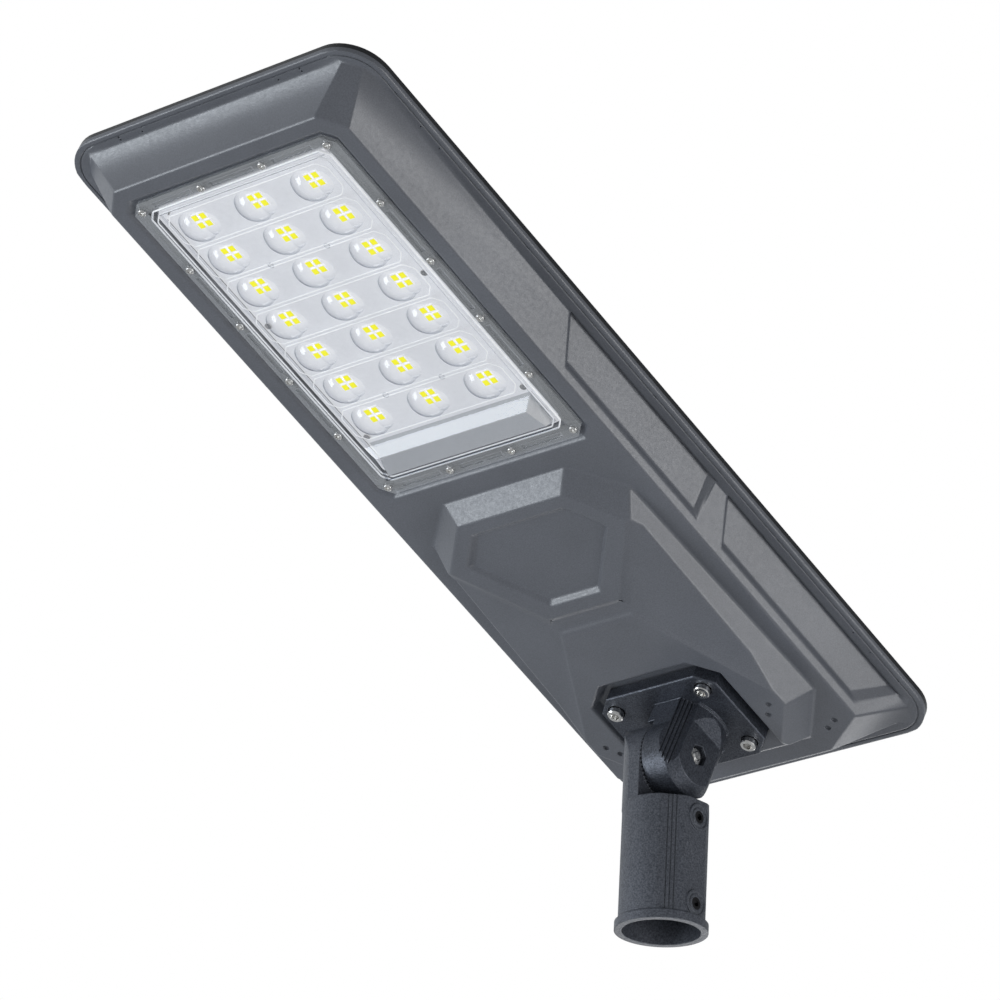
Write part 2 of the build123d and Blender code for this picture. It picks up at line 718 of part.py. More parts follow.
def make_plate_bolts():
    bolts = []
    head_low = -65.3
    for x, y in plate_bolt_places():
        head = drum(6.5, x, y, head_low, head_low + 8.0)
        head = chamfer(head.faces().sort_by(Axis.Z)[0].edges(), 0.7)
        drive = Pos(x, y, head_low) * extrude(RegularPolygon(3.9, 6), amount=4.5)
        bolts.append(head + drum(4.0, x, y, head_low + 8, head_low + 34.0) - drive)
    return bolts


def make_plate_nuts():
    z = PLATE_FACE + PLATE_THICK + 7.6
    nuts = []
    for x, y in plate_bolt_places():
        nut = Pos(x, y, z) * extrude(RegularPolygon(NUT_CIRCLE, 6), amount=6.5)
        nuts.append(nut - drum(4.0, x, y, z - 1, z + 8))
    return nuts


def knuckle(side):
    """Half of the hinge about the X axis: drum, tapered cheek and flat face."""
    straight = cross_drum(KNUCKLE_R, 0, KNUCKLE_STRAIGHT)
    taper = Pos(KNUCKLE_STRAIGHT, 0, 0) * Rot(Y=90) * Cone(
        KNUCKLE_R, CHEEK_R, KNUCKLE_CHEEK - KNUCKLE_STRAIGHT, align=LOW)
    half = straight + taper
    return half if side > 0 else mirror(half, Plane.YZ)


def make_mounting_plate():
    plate = prism(plate_outline(0.0), PLATE_FACE, PLATE_FACE + PLATE_THICK)
    plate = chamfer(plate.faces().sort_by(Axis.Z)[0].edges(), 0.8)
    for x, y in plate_bolt_places():
        plate -= drum(4.5, x, y, PLATE_FACE - 1, PLATE_FACE + PLATE_THICK + 1)
        plate -= drum(7.4, x, y, PLATE_FACE - 1, PLATE_FACE + 2.9)

    joint_gap = 1.0
    ring = drum(38.2, 0, PLATE_Y, PLATE_FACE - 1.6, PLATE_FACE)
    boss = drum(37.0, 0, PLATE_Y, -78.5, PLATE_FACE)
    front = slab(120.0, PLATE_Y - WEB_HALF, PLATE_Y + 45.0, -80.0, PLATE_FACE)
    right = slab(60.0, PLATE_Y - 60, PLATE_Y + 60, -80.0, PLATE_FACE + 1, 30.0 - 7.0)
    base = (ring + boss) & front & right
    base -= facet_solid(ramp_wedge())

    web = slab(KNUCKLE_CHEEK, PLATE_Y - WEB_HALF, PLATE_Y + WEB_HALF, HINGE_Z, PLATE_FACE,
               KNUCKLE_CHEEK / 2)
    web &= drum(37.0, 0, PLATE_Y, HINGE_Z, PLATE_FACE)
    casting = base + web + Pos(0, PLATE_Y, HINGE_Z) * knuckle(1)
    for sign in (-1, 1):
        casting -= cheek_shave(sign)
        for x, y, angle in rib_grooves(sign):
            casting -= Pos(x, y, HINGE_Z) * Rot(Z=angle) * Box(1.4, 3.4, 90.0)
    casting -= ear_clearance(joint_gap)
    body = plate + casting
    body -= cross_drum(HINGE_BOLT_R + 0.1, -10, 60, PLATE_Y, HINGE_Z)
    nut_pocket = Pos(NUT_FACE - 7.5, PLATE_Y, HINGE_Z) * Rot(Y=90) * extrude(
        RegularPolygon(9.2, 6), amount=20)
    return body - nut_pocket


def ramp_wedge():
    """Slanting cut that leads from the round boss down to the flat cheek."""
    near = KNUCKLE_CHEEK
    far = 60.0
    profile = [(near, -78.5), (37.4, -63.5), (far, -63.5), (far, -90.0), (near, -90.0)]
    lo = [(x, PLATE_Y - 60, z) for x, z in profile]
    hi = [(x, PLATE_Y + 60, z) for x, z in profile]
    faces = [lo, hi]
    for i in range(len(lo)):
        j = (i + 1) % len(lo)
        faces.append([lo[i], lo[j], hi[j], hi[i]])
    return faces


def cheek_shave(sign):
    """Slanting cut beside the flat cheek, from the plate down past the hinge."""
    (x0, y0), (x1, y1) = SHAVE
    profile = [(x0, y0), (x1, y1), (60.0, y1), (60.0, 60.0), (x0, 60.0)]
    return prism([(x, PLATE_Y + sign * y) for x, y in profile], HINGE_Z - 60, PLATE_FACE)


def rib_grooves(sign):
    """Places of the upright grooves that leave ribs on the slanting side."""
    (x0, y0), (x1, y1) = SHAVE
    angle = degrees(atan2(sign * (y1 - y0), x1 - x0))
    for share in (0.30, 0.48, 0.66, 0.84):
        yield x0 + share * (x1 - x0), PLATE_Y + sign * (y0 + share * (y1 - y0)), angle


def ear_clearance(gap):
    """Room for the socket's ear on the other side of the toothed joint."""
    swing = cross_drum(KNUCKLE_R + 1.2, -60, gap, PLATE_Y, HINGE_Z)
    below = slab(60.0 + gap, PLATE_Y - 60, PLATE_Y + 60, HINGE_Z - 60, HINGE_Z, (gap - 60.0) / 2)
    return swing + below


# --------------------------------------------------------------- pole socket
def make_pole_socket():
    body = Cylinder(SOCKET_R, SOCKET_TOP, align=LOW)
    for angle in (0, 40, 140, 180, 220, 320):
        shave = Pos(SOCKET_FLAT + 5, 0, -1) * Box(10, 60, SOCKET_TOP + 2, align=LOW)
        body -= Rot(Z=angle) * shave
    collar = Cylinder(COLLAR_R, COLLAR_HEIGHT, align=LOW)
    collar = chamfer(collar.faces().sort_by(Axis.Z)[-1].edges(), 1.2)
    body += collar

    # ear and its foot on the -X side of the hinge
    face = -TOOTH_HEIGHT / 2 - 0.1
    ear = Pos(0, 0, HINGE_HEIGHT) * cross_drum(KNUCKLE_R, -SOCKET_R, 0)
    foot = Pos(-SOCKET_R / 2, 0, SOCKET_TOP - 4) * Box(
        SOCKET_R, 2 * KNUCKLE_R, HINGE_HEIGHT - SOCKET_TOP + 4, align=LOW)
    wall = Cylinder(SOCKET_R - 0.7, 200, align=LOW) - Pos(-SOCKET_FLAT - 4.4, 0, 0) * Box(
        10, 60, 200, align=LOW)
    body += (ear + foot) & wall
    body -= Pos(face + 30, 0, SOCKET_TOP) * Box(60, 90, 90, align=LOW)
    body += tooth_ring(face)

    for z in SCREW_HEIGHTS:
        boss = cross_drum(SCREW_BOSS_R, SOCKET_BORE + 1, SCREW_BOSS_X, 0, z)
        boss -= cross_drum(9.0, SCREW_BOSS_X - 0.9, SCREW_BOSS_X + 1, 0, z)
        boss += cross_drum(7.4, SOCKET_BORE + 1, SCREW_BOSS_X - 0.3, 0, z)
        body += boss
    for angle in (40, 140, 220, 320):
        for i in (-1, 0, 1):
            groove = Pos(SOCKET_FLAT, 3.3 * i, COLLAR_HEIGHT) * Box(1.6, 1.2, SOCKET_TOP, align=LOW)
            body -= Rot(Z=angle) * groove
    body -= Pos(0, 0, -1) * Cylinder(SOCKET_BORE, SOCKET_DEPTH + 1, align=LOW)
    for z in SCREW_HEIGHTS:
        body -= cross_drum(SET_SCREW_R + 0.05, SOCKET_BORE - 2, SCREW_BOSS_X + 1, 0, z)
    body -= cross_drum(HINGE_BOLT_R + 0.1, -60, 10, 0, HINGE_HEIGHT)
    body -= cross_drum(7.6, -60, BOLT_SEAT + 0.1, 0, HINGE_HEIGHT)
    return body


def tooth_ring(face):
    """Radial teeth of the locking joint, on the ear's inner face."""
    pitch = 360.0 / TOOTH_COUNT
    half = radians(pitch / 2)
    outer = KNUCKLE_R
    inner = 14.0
    teeth = []
    for i in range(TOOTH_COUNT):
        base = [(face - 0.4, r * sin(s), r * cos(half)) for r, s in
                ((inner, -half), (inner, half), (outer, half), (outer, -half))]
        ridge_in = (face + TOOTH_HEIGHT, 0, inner * cos(half))
        ridge_out = (face + TOOTH_HEIGHT, 0, outer * cos(half))
        b0, b1, b2, b3 = base
        flanks = quad(b1, b2, ridge_out, ridge_in) + quad(b3, b0, ridge_in, ridge_out)
        tooth = facet_solid([[b0, b1, b2, b3], [b0, b1, ridge_in], [b2, b3, ridge_out]] + flanks)
        teeth.append(Pos(0, 0, HINGE_HEIGHT) * Rot(X=i * pitch) * tooth)
    return teeth


def make_hinge_bolt():
    head = cross_drum(6.6, BOLT_SEAT - 7.0, BOLT_SEAT)
    head -= Pos(BOLT_SEAT - 7.0, 0, 0) * Rot(Y=90) * extrude(RegularPolygon(3.6, 6), amount=4.0)
    shank = cross_drum(HINGE_BOLT_R, BOLT_SEAT, NUT_FACE + 2.0)
    shank = chamfer(shank.faces().sort_by(Axis.X)[-1].edges(), 1.0)
    return Pos(0, 0, HINGE_HEIGHT) * (head + shank)


def make_hinge_nut():
    nut = Rot(Y=90) * extrude(RegularPolygon(NUT_CIRCLE, 6), amount=6.5)
    nut &= Rot(Y=90) * Cone(NUT_CIRCLE + 5.5, NUT_CIRCLE - 1.0, 6.5, align=LOW)
    nut = Pos(NUT_FACE - 6.5, PLATE_Y, HINGE_Z) * nut
    return nut - cross_drum(HINGE_BOLT_R, 0, 60, PLATE_Y, HINGE_Z)


def make_hinge_washer():
    ring = cross_drum(7.8, NUT_FACE - 7.5, NUT_FACE - 6.5, PLATE_Y, HINGE_Z)
    return ring - cross_drum(HINGE_BOLT_R, 0, 60, PLATE_Y, HINGE_Z)


def make_set_screw(z):
    screw = cross_drum(SET_SCREW_R, SOCKET_BORE + 0.3, SCREW_BOSS_X - 0.3, 0, z)
    drive = Pos(SCREW_BOSS_X - 4.3, 0, z) * Rot(Y=90) * extrude(RegularPolygon(2.9, 6), amount=5)
    return screw - drive


# -------------------------------------------------------------------- output
def save(name, shape, placed=TO_ROW):
    """Write one node, as one solid or a group of separate solids."""
    pieces = shape if isinstance(shape, list) else [shape]
    solids = []
    for piece in pieces:
        solids += (placed * piece).solids()
    group = solids[0] if len(solids) == 1 else Compound(children=solids)
    group.label = name
    export_step(group, f"parts/{name}.step")


def main():
    os.makedirs("parts", exist_ok=True)
    stay = Location((0, 0, 0))
    save("lower_housing", make_lower_housing())
    save("panel_frame", make_panel_frame())
    save("panel_gasket", make_panel_gasket())
    save("panel_backsheet", panel_sheet(0.0, 5.4, 5.9))
    save("solar_cells", make_solar_cells())
    save("solar_glass", panel_sheet(0.0, 6.2, 9.2))
    save("frame_screws", make_frame_screws())
    save("panel_junction", make_panel_junction())
    save("lens_cover", make_lens_cover())
    save("lens_gasket", make_lens_gasket())
    save("lens_screws", make_lens_screws())
    save("led_board", make_led_board())
    save("led_chips", make_led_chips())
    save("board_screws", make_board_screws())
    save("heat_sink", make_heat_sink())
    save("heat_sink_screws", make_heat_sink_screws())
    save("terminal_cover", make_terminal_cover())
    save("battery_cells", make_battery_cells())
    save("battery_tray", make_battery_tray())
    save("battery_straps", make_battery_straps())
    save("controller_board", make_controller_board())
    save("controller_parts", make_controller_parts())
    save("radar_sensor", make_radar_sensor())
    save("panel_lead", make_panel_lead())
    save("battery_lead", make_battery_lead())
    save("led_lead", make_led_lead())
    save("bracket_gasket", make_bracket_gasket())
    save("mounting_plate", make_mounting_plate())
    save("plate_bolts", make_plate_bolts())
    save("backing_plate", make_backing_plate())
    save("plate_nuts", make_plate_nuts())
    save("hinge_nut", make_hinge_nut())
    save("hinge_washer", make_hinge_washer())
    save("hinge_bolt", make_hinge_bolt(), stay)
    save("pole_socket", make_pole_socket(), stay)
    for name, z in zip(("set_screw_lower", "set_screw_upper"), SCREW_HEIGHTS):
        save(name, make_set_screw(z), stay)


main()
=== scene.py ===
import json
import math

import bmesh
import bpy
from mathutils import Euler, Matrix, Vector


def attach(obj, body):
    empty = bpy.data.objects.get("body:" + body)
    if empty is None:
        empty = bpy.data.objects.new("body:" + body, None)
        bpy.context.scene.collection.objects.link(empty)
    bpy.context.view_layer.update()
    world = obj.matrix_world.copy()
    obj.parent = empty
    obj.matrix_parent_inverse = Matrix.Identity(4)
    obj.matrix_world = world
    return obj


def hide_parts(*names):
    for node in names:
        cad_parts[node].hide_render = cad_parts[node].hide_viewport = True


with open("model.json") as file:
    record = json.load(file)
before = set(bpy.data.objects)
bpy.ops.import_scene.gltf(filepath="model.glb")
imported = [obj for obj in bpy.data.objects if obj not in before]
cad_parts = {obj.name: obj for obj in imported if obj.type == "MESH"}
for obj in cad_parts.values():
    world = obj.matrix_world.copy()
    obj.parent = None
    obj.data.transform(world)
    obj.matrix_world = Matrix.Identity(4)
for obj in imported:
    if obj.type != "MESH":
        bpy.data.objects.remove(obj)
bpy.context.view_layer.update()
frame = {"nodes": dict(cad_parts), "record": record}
nodes = frame["nodes"]

# Lengths below are in millimetres in the head's own frame: X across, Y from
# the LED end (-) to the pole end (+), Z towards the solar panel, with its
# origin at the middle of the body outline. HEAD_TO_ROW places them.
MM = 0.001
TILT = math.radians(24.5)
HEAD_TO_ROW = (Matrix.Translation((0, 0, 0.140)) @ Matrix.Rotation(-TILT, 4, "X")
               @ Matrix.Translation((0, -0.2702, 0.0998)))
ROW_TO_HEAD = HEAD_TO_ROW.inverted()

LENS_FACE = -32.5
LENS_FIELD = -34.0
FIELD_HALF = 93.5
FIELD_LED_END = -326.0
FIELD_POLE_END = -23.5
LED_PITCH_X = 59.1
LED_PITCH_Y = 36.3
LED_FIRST_ROW = -301.2
CHIP = 5.6
CHIP_PITCH = 7.9
CHIP_LOW = -28.1
BORDER_Z = (-28.8, -28.3)      # lower and upper face of the white field border
BORDER_INSET = (1.8, 6.9)      # its outer and inner edge, in from the field's outline
FIELD_CUT = 6.5                # corner cut of the field
ROW_HALF = (83.5, 16.6)        # half sizes of the ridge round one LED row
ROW_CUT = 7.0
NUB_R = 2.6
RIM_HALF = (158.50, 385.00)


# ------------------------------------------------------------ node materials
class Graph:
    """A small builder for one node material."""

    def __init__(self, name):
        self.material = bpy.data.materials.new(name)
        self.material.use_nodes = True
        self.tree = self.material.node_tree
        self.tree.nodes.clear()
        self.out = self.add("ShaderNodeOutputMaterial")

    def add(self, kind, inputs=None, **settings):
        node = self.tree.nodes.new(kind)
        for key, value in settings.items():
            setattr(node, key, value)
        for key, value in (inputs or {}).items():
            socket = node.inputs[key]
            if isinstance(value, bpy.types.NodeSocket):
                self.tree.links.new(value, socket)
            else:
                socket.default_value = value
        return node

    def coords(self, in_head=False, scale=(1, 1, 1)):
        place = self.add("ShaderNodeTexCoord").outputs["Object"]
        if in_head:
            turn = self.add("ShaderNodeMapping", {"Vector": place, "Rotation": (TILT, 0, 0)})
            place = turn.outputs[0]
        if scale != (1, 1, 1):
            place = self.add("ShaderNodeMapping", {"Vector": place, "Scale": scale}).outputs[0]
        return place

    def noise(self, place, scale, detail=3.0, roughness=0.55):
        node = self.add("ShaderNodeTexNoise", {"Vector": place, "Scale": scale,
                                               "Detail": detail, "Roughness": roughness})
        return node.outputs["Fac"]

    def span(self, value, low, high, to_low, to_high):
        node = self.add("ShaderNodeMapRange", {"Value": value, "From Min": low, "From Max": high,
                                               "To Min": to_low, "To Max": to_high})
        return node.outputs[0]

    def math(self, operation, a, b=0.0):
        return self.add("ShaderNodeMath", {0: a, 1: b}, operation=operation).outputs[0]

    def blend(self, factor, a, b, mode="MIX"):
        node = self.add("ShaderNodeMix", data_type="RGBA", blend_type=mode)
        for key, value in ((0, factor), (6, a), (7, b)):
            if isinstance(value, bpy.types.NodeSocket):
                self.tree.links.new(value, node.inputs[key])
            else:
                node.inputs[key].default_value = value if key == 0 else (*value[:3], 1.0)
        return node.outputs[2]

    def edges(self, radius, gain):
        """How near a point is to a sharp edge, from 0 to 1: the mask for painted edge highlights.
        """
        soft = self.add("ShaderNodeBevel", {"Radius": radius}, samples=4).outputs[0]
        plain = self.add("ShaderNodeNewGeometry").outputs["Normal"]
        dot = self.add("ShaderNodeVectorMath", {0: soft, 1: plain}, operation="DOT_PRODUCT")
        away = self.math("SUBTRACT", 1.0, dot.outputs["Value"])
        return self.add("ShaderNodeMath", {0: away, 1: gain}, operation="MULTIPLY",
                        use_clamp=True).outputs[0]

    def surface(self, shader):
        self.tree.links.new(shader, self.out.inputs["Surface"])
        return self.material


def coated(name, dark, light, rough, grain=900.0, bump=0.25, depth=0.0002, metal=0.0,
           edge=None, edge_highlight_gain=2.0, patch=0.10, spec=0.5, coat=0.0, soft_edge=0.0, painted_glow=0.0):
    """A moulded, cast or coated surface: speckle, slow random drift in tone, fine bump, painted
    highlights on edges, optional painted light by emission.
    """
    g = Graph(name)
    place = g.coords()
    speckle = g.span(g.noise(place, grain, 4.0, 0.65), 0.35, 0.68, 0.0, 1.0)
    colour = g.blend(speckle, dark, light)
    drift = g.span(g.noise(place, 11.0, 2.0), 0.3, 0.7, 1.0 - patch, 1.0 + patch)
    level = g.add("ShaderNodeCombineColor", {0: drift, 1: drift, 2: drift}).outputs[0]
    colour = g.blend(1.0, colour, level, "MULTIPLY")
    # Painted highlight: near sharp edges the colour is blended towards a lighter edge colour.
    if edge:
        colour = g.blend(g.edges(0.0011, edge_highlight_gain), colour, edge)
    shine = g.span(g.noise(place, grain * 0.37, 3.0), 0.3, 0.7, rough - 0.05, rough + 0.06)
    base_normal = {}
    if soft_edge:
        base_normal = {"Normal": g.add("ShaderNodeBevel", {"Radius": soft_edge},
                                       samples=6).outputs[0]}
    lumps = g.add("ShaderNodeBump", {"Height": g.noise(place, grain * 1.3, 3.0), "Strength": bump,
                                     "Distance": depth, **base_normal}).outputs[0]
    # Painted light: emission in the surface's own colour makes it shine though it is no lamp.
    bsdf = g.add("ShaderNodeBsdfPrincipled", {
        "Base Color": colour, "Roughness": shine, "Metallic": metal, "Normal": lumps,
        "Specular IOR Level": spec, "Coat Weight": coat, "Coat Roughness": 0.25,
        "Emission Color": colour, "Emission Strength": painted_glow})
    return g.surface(bsdf.outputs[0])


def brushed(name, colour, rough, stretch, grain=1500.0):
    """Bright metal with fine lines along one direction."""
    g = Graph(name)
    place = g.coords(scale=stretch)
    lines = g.noise(place, grain, 3.0)
    shade = g.blend(g.span(lines, 0.3, 0.7, 0.0, 1.0), [c * 0.82 for c in colour], colour)
    worn = g.blend(g.span(g.noise(g.coords(), 160.0, 2.0), 0.55, 0.75, 0.0, 0.15), shade,
                   [c * 0.6 for c in colour])
    shine = g.span(lines, 0.3, 0.7, rough - 0.06, rough + 0.08)
    lumps = g.add("ShaderNodeBump", {"Height": lines, "Strength": 0.04, "Distance": 0.0001})
    bsdf = g.add("ShaderNodeBsdfPrincipled", {"Base Color": worn, "Roughness": shine,
                                              "Metallic": 1.0, "Normal": lumps.outputs[0]})
    return g.surface(bsdf.outputs[0])


def outside_field(g):
    """1 on the lens flange, 0 inside the LED field, from the place on the head."""
    axes = g.add("ShaderNodeSeparateXYZ", {0: g.coords(in_head=True)}).outputs
    middle = (FIELD_LED_END + FIELD_POLE_END) / 2 * MM - ROW_TO_HEAD.translation.y
    across = g.math("SUBTRACT", g.math("ABSOLUTE", axes[0]), FIELD_HALF * MM)
    along = g.math("SUBTRACT", g.math("ABSOLUTE", g.math("SUBTRACT", axes[1], middle)),
                   (FIELD_POLE_END - FIELD_LED_END) / 2 * MM)
    return g.span(g.math("MAXIMUM", across, along), 0.0, 0.5 * MM, 0.0, 1.0)


def clear(name, tint, painted_rim_shade, gloss_rough, milk, grain=60.0, rim_shade_power=3.0, flange_milk=0.0):
    """Thin clear plastic or glass: see-through, glossy, with painted shade towards its rims where
    it is seen edge-on.
    """
    g = Graph(name)
    place = g.coords()
    ripple = g.add("ShaderNodeBump", {"Height": g.noise(place, grain, 2.0), "Strength": 0.08,
                                      "Distance": 0.001}).outputs[0]
    facing = g.add("ShaderNodeLayerWeight", {"Blend": 0.5}).outputs["Facing"]
    # Painted shade: this weight turns the see-through colour darker towards rims seen edge-on.
    rim = g.math("POWER", facing, rim_shade_power)
    haze = g.span(g.noise(place, 420.0, 3.0), 0.3, 0.7, milk * 0.7, milk * 1.3)
    if flange_milk:
        haze = g.math("ADD", haze, g.math("MULTIPLY", outside_field(g), flange_milk))
    through = g.add("ShaderNodeBsdfTransparent", {"Color": g.blend(rim, tint, painted_rim_shade)})
    milky = g.add("ShaderNodeBsdfPrincipled", {"Base Color": (0.86, 0.88, 0.9, 1),
                                               "Roughness": 0.35})
    body = g.add("ShaderNodeMixShader", {0: haze, 1: through.outputs[0], 2: milky.outputs[0]})
    gloss = g.add("ShaderNodeBsdfGlossy", {"Color": (1, 1, 1, 1), "Roughness": gloss_rough,
                                           "Normal": ripple})
    outside = g.math("SUBTRACT", 1.0, g.add("ShaderNodeNewGeometry").outputs["Backfacing"])
    bounce = g.math("MULTIPLY", g.span(g.math("POWER", facing, 5.0), 0.0, 1.0, 0.045, 0.9), outside)
    mixed = g.add("ShaderNodeMixShader", {0: bounce, 1: body.outputs[0], 2: gloss.outputs[0]})
    return g.surface(mixed.outputs[0])


FINGER_PITCH = 0.0021          # metres from one silver finger to the next
FINGER_SHARE = 0.07            # width of a finger over that pitch


def solar_material():
    """Dark blue cells with fine silver fingers across each one."""
    g = Graph("silicon_cells")
    place = g.coords(in_head=True)
    axes = g.add("ShaderNodeSeparateXYZ", {0: place}).outputs
    finger = g.math("FRACT", g.math("MULTIPLY", axes[1], 1.0 / FINGER_PITCH))
    line = g.math("LESS_THAN", finger, FINGER_SHARE)
    flakes = g.add("ShaderNodeTexVoronoi", {"Vector": place, "Scale": 90.0}).outputs["Color"]
    split = g.add("ShaderNodeSeparateColor", {0: flakes})
    tone = g.span(split.outputs[0], 0.0, 1.0, 0.0, 1.0)
    cell = g.blend(tone, (0.004, 0.008, 0.026), (0.008, 0.016, 0.05))
    colour = g.blend(line, cell, (0.16, 0.17, 0.2))
    bsdf = g.add("ShaderNodeBsdfPrincipled", {"Base Color": colour, "Roughness": 0.28,
                                              "Specular IOR Level": 0.6})
    return g.surface(bsdf.outputs[0])


def circuit(name, mask, trace, grain=260.0):
    """A printed circuit board: solder mask with faint traces under it."""
    g = Graph(name)
    place = g.coords(in_head=True)
    cells = g.add("ShaderNodeTexVoronoi", {"Vector": place, "Scale": grain}, distance="MANHATTAN")
    track = g.math("LESS_THAN", cells.outputs["Distance"], 0.32)
    colour = g.blend(g.math("MULTIPLY", track, 0.35), mask, trace)
    shine = g.span(g.noise(place, 500.0), 0.3, 0.7, 0.25, 0.38)
    lumps = g.add("ShaderNodeBump", {"Height": track, "Strength": 0.15, "Distance": 0.0001})
    bsdf = g.add("ShaderNodeBsdfPrincipled", {"Base Color": colour, "Roughness": shine,
                                              "Normal": lumps.outputs[0]})
    return g.surface(bsdf.outputs[0])


def phosphor():
    """Yellow phosphor that shines a little by painted emission, as it looks behind its lens."""
    g = Graph("phosphor")
    place = g.coords()
    grain = g.span(g.noise(place, 2600.0, 2.0), 0.3, 0.7, 0.0, 1.0)
    colour = g.blend(grain, (0.93, 0.86, 0.0), (1.0, 0.95, 0.005))
    # Painted light: emission makes the phosphor shine though it is no lamp.
    bsdf = g.add("ShaderNodeBsdfPrincipled", {"Base Color": colour, "Roughness": 0.5,
                                              "Emission Color": colour,
                                              "Emission Strength": 0.55})
    return g.surface(bsdf.outputs[0])


def woven(name, dark, light):
    g = Graph(name)
    place = g.coords(in_head=True)
    across = g.add("ShaderNodeTexWave", {"Vector": place, "Scale": 160.0}, bands_direction="X")
    along = g.add("ShaderNodeTexWave", {"Vector": place, "Scale": 160.0}, bands_direction="Y")
    weave = g.math("MULTIPLY", across.outputs["Fac"], along.outputs["Fac"])
    lumps = g.add("ShaderNodeBump", {"Height": weave, "Strength": 0.5, "Distance": 0.0003})
    bsdf = g.add("ShaderNodeBsdfPrincipled", {"Base Color": g.blend(weave, dark, light),
                                              "Roughness": 0.8, "Normal": lumps.outputs[0]})
    return g.surface(bsdf.outputs[0])


# Painted highlight: the housing's sharp edges are coloured lighter.
HOUSING = coated("moulded_housing", (0.108, 0.115, 0.133), (0.152, 0.161, 0.185), 0.35,
                 grain=950.0, bump=0.22, edge=(0.24, 0.26, 0.30), edge_highlight_gain=1.0,
                 soft_edge=0.0014, spec=0.85)
FRAME = coated("panel_frame_black", (0.012, 0.013, 0.015), (0.02, 0.021, 0.024), 0.3,
               grain=700.0, bump=0.12, soft_edge=0.0008)
GASKET = coated("silicone_rubber", (0.05, 0.05, 0.052), (0.08, 0.08, 0.084), 0.62, grain=600.0)
BACKSHEET = coated("backsheet_film", (0.8, 0.8, 0.8), (0.86, 0.86, 0.86), 0.5, grain=300.0)
SOLAR = solar_material()
# Painted shade: where seen edge-on, the glass turns grey-green and the lens dark blue-grey.
GLASS = clear("panel_glass", (0.93, 0.96, 0.98), (0.6, 0.7, 0.72), 0.04, 0.005)
LENS = clear("clear_polycarbonate", (0.998, 0.998, 1.0), (0.16, 0.20, 0.28), 0.06, 0.012,
             rim_shade_power=2.2, flange_milk=0.22)
PALE_GASKET = coated("pale_silicone", (0.24, 0.245, 0.25), (0.32, 0.325, 0.33), 0.55, grain=600.0)
# Painted highlight: the white, slightly emitting beads and row ridges stand for light caught on the
# clear lens's beads.
BEAD_PAINTED_HIGHLIGHT = coated("lens_bead_painted_highlight", (0.84, 0.85, 0.87), (0.90, 0.91, 0.92), 0.22, grain=160.0,
              bump=0.02, coat=0.4, painted_glow=0.3)
FROST = coated("frosted_white", (0.80, 0.80, 0.80), (0.86, 0.86, 0.86), 0.5, grain=420.0,
               bump=0.1, patch=0.03)
# Painted light: the white board, its border and the LED packages shine a little by emission.
BOARD_WHITE = coated("white_board", (0.84, 0.84, 0.85), (0.88, 0.88, 0.89), 0.4, grain=260.0,
                     bump=0.05, patch=0.02, painted_glow=0.42)
PHOSPHOR = phosphor()
SINK = brushed("extruded_aluminium", (0.6, 0.61, 0.62), 0.38, (1, 0.04, 1))
STEEL = brushed("bright_steel", (0.86, 0.85, 0.83), 0.2, (1, 1, 0.1), 600.0)
WRAP = coated("cell_wrap", (0.02, 0.07, 0.24), (0.03, 0.09, 0.3), 0.3, grain=400.0, coat=0.3)
TRAY = coated("battery_tray", (0.03, 0.03, 0.032), (0.045, 0.045, 0.048), 0.5)
STRAP = woven("woven_strap", (0.008, 0.008, 0.008), (0.05, 0.05, 0.05))
GREEN = circuit("green_board", (0.006, 0.07, 0.022), (0.02, 0.16, 0.06))
BLACK_PART = coated("moulded_parts", (0.012, 0.012, 0.013), (0.022, 0.022, 0.024), 0.4,
                    grain=800.0)
CABLE = coated("cable_sheath", (0.25, 0.008, 0.008), (0.33, 0.012, 0.012), 0.45, grain=500.0)
# Painted highlight: the sharp edges of the bracket and the socket are coloured lighter.
BRACKET = coated("bracket_powder_coat", (0.030, 0.034, 0.045), (0.11, 0.122, 0.15), 0.33,
                 grain=750.0, bump=0.75, depth=0.0004, metal=0.55, edge=(0.17, 0.185, 0.22),
                 edge_highlight_gain=2.4, soft_edge=0.0012, spec=0.7)
SOCKET = coated("socket_powder_coat", (0.044, 0.050, 0.063), (0.14, 0.15, 0.178), 0.38,
                grain=700.0, bump=0.8, depth=0.0004, metal=0.3, edge=(0.17, 0.185, 0.21),
                edge_highlight_gain=1.6, soft_edge=0.0012, spec=0.55)
PLATED = brushed("zinc_plate", (0.55, 0.55, 0.52), 0.36, (1, 1, 1), 700.0)
BLACK_SCREW = coated("black_oxide", (0.012, 0.012, 0.014), (0.024, 0.024, 0.027), 0.34,
                     grain=900.0, metal=0.6)

PAINT = {
    "housing": HOUSING, "frame": FRAME, "glass": GLASS, "cells": SOLAR, "backsheet": BACKSHEET,
    "gasket": GASKET, "lens": LENS, "led_board": BOARD_WHITE, "led_chip": PHOSPHOR, "sink": SINK,
    "steel": STEEL, "white_plastic": FROST, "cell_wrap": WRAP, "tray": TRAY, "strap": STRAP,
    "board": GREEN, "component": BLACK_PART, "cable": CABLE, "bracket": BRACKET,
    "plated": PLATED, "screw_black": BLACK_SCREW,
}
for part in frame["record"]["subparts"]:
    target = nodes[part["node"]].data
    target.materials.clear()
    target.materials.append(PAINT[part["material_slot"]])
nodes["pole_socket"].data.materials[0] = SOCKET
nodes["lens_gasket"].data.materials[0] = PALE_GASKET


# ------------------------------------------------------------- mesh builders
def piece(name, bm, material, body, slot, *stands_for, smooth=35.0):
    """Finish a bmesh as a piece that rides on a body."""
    mesh = bpy.data.meshes.new(name)
    bm.normal_update()
    bm.to_mesh(mesh)
    bm.free()
    made = bpy.data.objects.new(name, mesh)
    bpy.context.scene.collection.objects.link(made)
    for m in material if isinstance(material, list) else [material]:
        mesh.materials.append(m)
    mesh.polygons.foreach_set("use_smooth", [True] * len(mesh.polygons))
    mesh.set_sharp_from_angle(angle=math.radians(smooth))
    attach(made, body)
    if stands_for:
        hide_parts(*stands_for)
    return made


